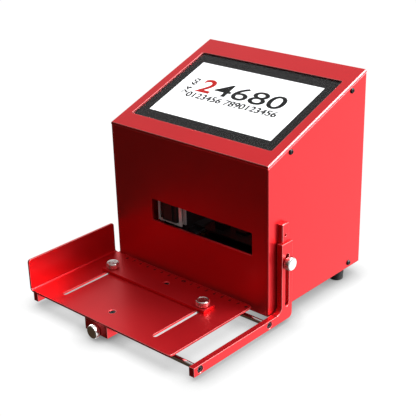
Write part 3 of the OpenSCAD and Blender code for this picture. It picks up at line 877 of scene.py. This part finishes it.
def thumb_screw(node, direction, start, shank):
    """A knurled, dished head with its threaded shank, laid along a direction from its underside."""
    rim = KNOB_RADIUS - KNURL_ROOM
    thread = []
    tip, neck = 0.3, 0.6
    for k in range(int(shank / THREAD_PITCH)):
        low = -shank + tip + k * THREAD_PITCH
        if low + THREAD_PITCH > -neck:
            break
        thread += [(KNOB_SHANK - THREAD_DEPTH, low), (KNOB_SHANK, low + THREAD_PITCH / 2)]
    profile = [(0, -shank), (KNOB_SHANK - 0.4, -shank)] + thread
    profile += [
        (KNOB_SHANK - 0.25, -0.5), (KNOB_SHANK - 0.25, 0), (rim - 0.9, 0), (rim - 0.35, 0.15),
        (rim - 0.05, 0.55), (rim, 0.8), (rim, KNOB_HEIGHT - 1.1), (rim - 0.03, KNOB_HEIGHT - 0.8),
        (rim - 0.12, KNOB_HEIGHT - 0.35), (rim - 0.3, KNOB_HEIGHT - 0.1),
        (rim - 0.5, KNOB_HEIGHT), (rim - 0.75, KNOB_HEIGHT - 0.02),
        (rim - 1.1, KNOB_HEIGHT - 0.16), (rim - 2.2, KNOB_HEIGHT - 0.24),
        (1.2, KNOB_HEIGHT - 0.3), (0.35, KNOB_HEIGHT - 0.32), (0, KNOB_HEIGHT - 0.32),
    ]
    piece = add_object(node + "_knurled", lathe(profile, KNOB_SIDES, node + "_knurled"))
    piece.data.materials.append(KNOB_NICKEL)
    rim_ridges = piece.modifiers.new("knurling", "NODES")
    rim_ridges.node_group = KNURL
    set_inputs(rim_ridges, {
        "Ridges": RIDGES,
        "Radius": (rim - 0.15) * MM,
        "Depth": RIDGE_DEPTH * MM,
        "Length": (KNOB_HEIGHT - 2.1) * MM,
        "Lift": (KNOB_HEIGHT - 0.35) / 2 * MM,
    })
    settled(piece)
    turn = Vector(direction).to_track_quat("Z", "Y").to_matrix().to_4x4()
    piece.data.transform(Matrix.Translation(at(*start)) @ turn)
    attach(piece, BODY_OF[node])
    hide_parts(node)
    return piece


out, back, up = HEIGHT_KNOB
thumb_screw("right_height_knob", (1, 0, 0), (out, back, up), 10.6)
thumb_screw("left_height_knob", (-1, 0, 0), (-out, back, up), 10.6)
thumb_screw("platform_knob", (0, -1, 0), (PLATFORM_MIDDLE, *PLATFORM_KNOB), 10.4)
out, back, up = FENCE_KNOB
thumb_screw("left_fence_knob", (0, 0, 1), (PLATFORM_MIDDLE - out, back, up), 8.4)
thumb_screw("right_fence_knob", (0, 0, 1), (PLATFORM_MIDDLE + out, back, up), 8.4)


# ------------------------------------------------------------------ ruler on the platform


# Shifts of the second and further strokes of a bold digit, as shares of its height.
BOLD = ((0.05, 0.0), (0.10, 0.0), (0.05, 0.05), (0.10, 0.05))
BROADER = ((0.15, 0.0), (0.15, 0.05), (0.05, 0.10), (0.15, 0.10))
# How deep a digit's curve is drawn, then in millimetres how thick its mesh is made and how far
# each further stroke stands above the one before.
DRAWN_DEPTH = 0.004
DIGIT_THICKNESS = 0.01
STROKE_RISE = 0.002
# Thickness of the ruler's marks, and how far marks and digits lie above what carries them.
MARK_THICKNESS = 0.02
MARK_LIFT = 0.01
SCREEN_DIGIT_LIFT = 0.06


def numerals(text, width, height, weight=0.0, strokes=()):
    """A flat row of digits, fitted to a box whose lower left corner is the origin, in metres.

    The row is laid once more at each of the strokes, which are shifts as shares of its height.
    """
    words = bpy.data.curves.new("digits", "FONT")
    words.body = text
    words.size = 1.0
    words.offset = weight
    words.extrude = DRAWN_DEPTH
    holder = add_object("digits", words)
    graph = bpy.context.evaluated_depsgraph_get()
    mesh = bpy.data.meshes.new_from_object(holder.evaluated_get(graph))
    bpy.data.objects.remove(holder)
    corners = [v.co for v in mesh.vertices]
    low = Vector((min(c.x for c in corners), min(c.y for c in corners), 0))
    high = Vector((max(c.x for c in corners), max(c.y for c in corners), 0))
    sx = width / (high.x - low.x) if width else height / (high.y - low.y)
    sy = height / (high.y - low.y)
    sz = DIGIT_THICKNESS * MM / DRAWN_DEPTH
    mesh.transform(Matrix.Diagonal((sx, sy, sz, 1)) @ Matrix.Translation(-low))
    if strokes:
        shape = bmesh.new()
        shape.from_mesh(mesh)
        for k, (right, up) in enumerate(strokes):
            again = mesh.copy()
            above = (k + 1) * STROKE_RISE * MM
            again.transform(Matrix.Translation((right * height, up * height, above)))
            shape.from_mesh(again)
        shape.to_mesh(mesh)
        shape.free()
    return mesh


def joined(name, parts, material):
    """One mesh object from several placed meshes."""
    shape = bmesh.new()
    for mesh, place in parts:
        mesh.transform(place)
        shape.from_mesh(mesh)
    whole = bpy.data.meshes.new(name)
    shape.to_mesh(whole)
    shape.free()
    whole.materials.clear()
    whole.materials.append(material)
    return add_object(name, whole)


def tick_tree(material):
    """A straight row of scale marks: how many, how far apart, how long, how wide, how thick."""
    tree = bpy.data.node_groups.new("scale_marks", "GeometryNodeTree")
    face = tree.interface
    for name, kind, value in (
        ("Marks", "NodeSocketInt", 10),
        ("Step", "NodeSocketFloat", 0.001),
        ("Mark length", "NodeSocketFloat", 0.001),
        ("Mark width", "NodeSocketFloat", 0.0001),
        ("Thickness", "NodeSocketFloat", 0.00002),
    ):
        face.new_socket(name, in_out="INPUT", socket_type=kind).default_value = value
    face.new_socket("Geometry", in_out="OUTPUT", socket_type="NodeSocketGeometry")
    build = Tree(tree)
    source = tree.nodes.new("NodeGroupInput")

    def given(name):
        return Wire(tree, source.outputs[name])

    step = build.node("ShaderNodeCombineXYZ", None, {"X": given("Step")})
    row = build.node(
        "GeometryNodeMeshLine", {"mode": "OFFSET"},
        {"Count": given("Marks"), "Offset": step},
    )
    size = build.node(
        "ShaderNodeCombineXYZ", None,
        {"X": given("Mark width"), "Y": given("Mark length"), "Z": given("Thickness")},
    )
    mark = build.node("GeometryNodeMeshCube", None, {"Size": size})
    stood = build.node("GeometryNodeInstanceOnPoints", None, {"Points": row, "Instance": mark})
    real = build.node("GeometryNodeRealizeInstances", None, {"Geometry": stood})
    done = build.node("GeometryNodeSetMaterial", None, {"Geometry": real, "Material": material})
    end = tree.nodes.new("NodeGroupOutput")
    tree.links.new(done.socket, end.inputs[0])
    return tree


TICKS = tick_tree(SCALE_MARK)


def tick_row(count, step, length, width):
    """The mesh of one row of marks, centred on its middle mark, lying along x."""
    holder = add_object("marks", bpy.data.meshes.new("marks"))
    row = holder.modifiers.new("marks", "NODES")
    row.node_group = TICKS
    set_inputs(row, {
        "Marks": count, "Step": step * MM, "Mark length": length * MM,
        "Mark width": width * MM, "Thickness": MARK_THICKNESS * MM,
    })
    settled(holder)
    mesh = holder.data
    bpy.data.objects.remove(holder)
    mesh.transform(Matrix.Translation((-(count - 1) * step * MM / 2, 0, 0)))
    return mesh


def ruler():
    """Millimetre marks with a number at each centimetre, counted outwards from the middle."""
    rear = -3.9
    baseline = -9.6
    reach = 80
    centimetre = 10
    plain_height, middle_height = 2.9, 3.2
    middle_broadening = 1.9
    lift = PLATFORM_TOP + MARK_LIFT
    parts = []
    for step, length, width in ((1, 1.0, 0.11), (5, 1.6, 0.16), (10, 2.2, 0.26)):
        count = 2 * reach // step + 1
        row = tick_row(count, step, length, width)
        parts.append((row, Matrix.Translation(at(0, rear - length / 2, lift))))
    for k in range(-reach // centimetre, reach // centimetre + 1):
        height = middle_height if k == 0 else plain_height
        label = numerals(str(abs(k)), None, height * MM, 0.0, BOLD + BROADER)
        if k == 0:
            label.transform(Matrix.Diagonal((middle_broadening, 1, 1, 1)))
        wide = max(v.co.x for v in label.vertices)
        corner = at(k * centimetre, baseline, lift)
        parts.append((label, Matrix.Translation(corner - Vector((wide / 2, 0, 0)))))
    marks = joined("platform_ruler_marks", parts, SCALE_MARK)
    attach(marks, "platform")


ruler()


# ------------------------------------------------------------------ what the screen shows


def on_screen(across, down, turned=0.0):
    """The place of a point of the screen, given as shares of its width and height from its top left."""
    u = (across - 0.5) * SCREEN_WIDTH * MM
    v = (GLASS_MIDDLE + (0.5 - down) * SCREEN_HEIGHT) * MM
    hinge = Matrix.Translation(at(0, 0, FRONT_HEIGHT))
    lean = Matrix.Rotation(SLOPE_ANGLE, 4, "X")
    spot = Matrix.Translation((u, v, (SCREEN_SURFACE + SCREEN_DIGIT_LIFT) * MM))
    return hinge @ lean @ spot @ Matrix.Rotation(turned, 4, "Z")


def screen_digits():
    """Rows of plain digits in red and black, one row turned to run up the left side."""
    wide, high = SCREEN_WIDTH * MM, SCREEN_HEIGHT * MM
    first = joined(
        "screen_first_digit",
        [(numerals("2", 0.115 * wide, 0.25 * high, 0.02), on_screen(0.17, 0.525))],
        DIGIT_RED,
    )
    others = joined(
        "screen_digits",
        [
            (numerals("4680", 0.56 * wide, 0.235 * high, 0.01), on_screen(0.30, 0.52)),
            (numerals("0123456 7890123456", 0.735 * wide, 0.092 * high, 0.0, BOLD),
             on_screen(0.135, 0.645)),
            (numerals("24 60", 0.29 * high, 0.046 * wide, 0.0, BOLD[:2]),
             on_screen(0.128, 0.60, math.pi / 2)),
        ],
        DIGIT_BLACK,
    )
    for piece in (first, others):
        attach(piece, "housing")


screen_digits()


# ------------------------------------------------------------------ studio


def studio():
    """A pale floor and far walls for the eye; the surround lights from the right and behind."""
    floor_mesh = bpy.data.meshes.new("studio_floor")
    half = 40.0
    corners = [(-half, -half), (half, -half), (half, half), (-half, half)]
    floor_mesh.from_pydata(
        [(x, y, z) for z in (0, half) for x, y in corners],
        [],
        [(0, 1, 2, 3)] + [(i, i + 4, (i + 1) % 4 + 4, (i + 1) % 4) for i in range(4)],
    )
    floor = add_object("studio_floor", floor_mesh)

    def pale_paper(tree, place):
        """Paper that glows an even white, with a painted shadow: grey only where the machine is near
        enough to keep the light off it.
        """
        grain = noise(tree, place, 30.0)
        # Painted shadow: ambient occlusion dims the floor's glow towards dark grey near the machine.
        openness = tree.node(
            "ShaderNodeAmbientOcclusion", {"samples": 16}, {"Distance": SHADOW_REACH}, output=1
        )
        tone = tree.blend(grain, colour(0.97, 0.97, 0.97), colour(1.0, 1.0, 1.0))
        tone = tree.blend(openness, colour(0.06, 0.06, 0.06), tone)
        return surface(
            tree,
            Base_Color=colour(0, 0, 0),
            Roughness=1.0,
            Specular_IOR_Level=0.0,
            Emission_Color=tone,
            Emission_Strength=1.04,
        )

    floor_mesh.materials.append(finish("pale_studio_floor", pale_paper))
    floor.visible_glossy = False
    floor.visible_diffuse = False
    floor.visible_shadow = False

    world = bpy.data.worlds.new("studio_surround")
    bpy.context.scene.world = world
    world.use_nodes = True
    world.node_tree.nodes.clear()
    tree = Tree(world.node_tree)
    sight = tree.node("ShaderNodeTexCoord", output=0)
    sight = tree.node("ShaderNodeVectorMath", {"operation": "NORMALIZE"}, {0: sight})

    def lamp(direction, tightness):
        """How near a line of sight is to a direction: 1 on it, falling away smoothly."""
        aim = Vector(direction).normalized()
        near = tree.node(
            "ShaderNodeVectorMath", {"operation": "DOT_PRODUCT"}, {0: sight, 1: aim}, output=1
        )
        return near.maths("MAXIMUM", near, 0.0) ** tightness

    light = EVEN_LIGHT
    for direction, tightness, strength in SURROUND:
        light = light + strength * lamp(direction, tightness)
    tint = tree.blend(lamp(WARM_SIDE, 2.0), colour(1, 1, 1), colour(1.0, 0.62, 0.36))
    glow = tree.node("ShaderNodeBackground", None, {"Color": tint, "Strength": light})
    tree.node("ShaderNodeOutputWorld", None, {"Surface": glow})


# How near the machine has to be to darken the floor with its painted shadow, in metres.
SHADOW_REACH = 0.021
# The light from every side, the side that gives it a warm tint, and each lobe's direction,
# tightness and strength.
EVEN_LIGHT = 0.06
WARM_SIDE = (-0.62, -0.68, -0.40)
SURROUND = [
    ((0.80, 0.50, -0.22), 4.5, 2.4),     # bright paper low on the right
    ((0.52, 0.48, 0.71), 30.0, 34.0),    # soft box high on the right, behind
    ((-0.32, 0.60, 0.72), 7.0, 0.45),    # weaker fill overhead, behind
    ((-0.75, 0.60, 0.30), 8.0, 0.2),     # fill from the left, behind
    ((-0.88, 0.48, 0.05), 6.0, 0.8),     # fill on the left side
    ((0.70, -0.65, 0.30), 6.0, 0.2),     # fill beside the eye
    ((0.10, -0.10, 0.99), 4.0, 1.3),     # fill overhead
]
studio()


def set_camera():
    """An eye above the front right corner, leaning a little."""
    lens = bpy.data.cameras.new("eye")
    lens.sensor_width = 36.0
    lens.lens = 84.17
    lens.clip_start = 0.01
    lens.clip_end = 100.0
    camera = add_object("eye", lens)
    camera.location = (0.5913, -0.6380, 0.4700)
    azimuth, elevation, lean = map(math.radians, (42.43, 23.71, -1.485))
    back = Vector((
        math.sin(azimuth) * math.cos(elevation),
        -math.cos(azimuth) * math.cos(elevation),
        math.sin(elevation),
    ))
    aim = (-back).to_track_quat("-Z", "Y").to_matrix().to_4x4()
    camera.rotation_mode = "QUATERNION"
    camera.rotation_quaternion = (aim @ Matrix.Rotation(lean, 4, "Z")).to_quaternion()
    bpy.context.scene.camera = camera


set_camera()
bpy.context.scene.view_settings.view_transform = "Standard"

bpy.context.view_layer.update()
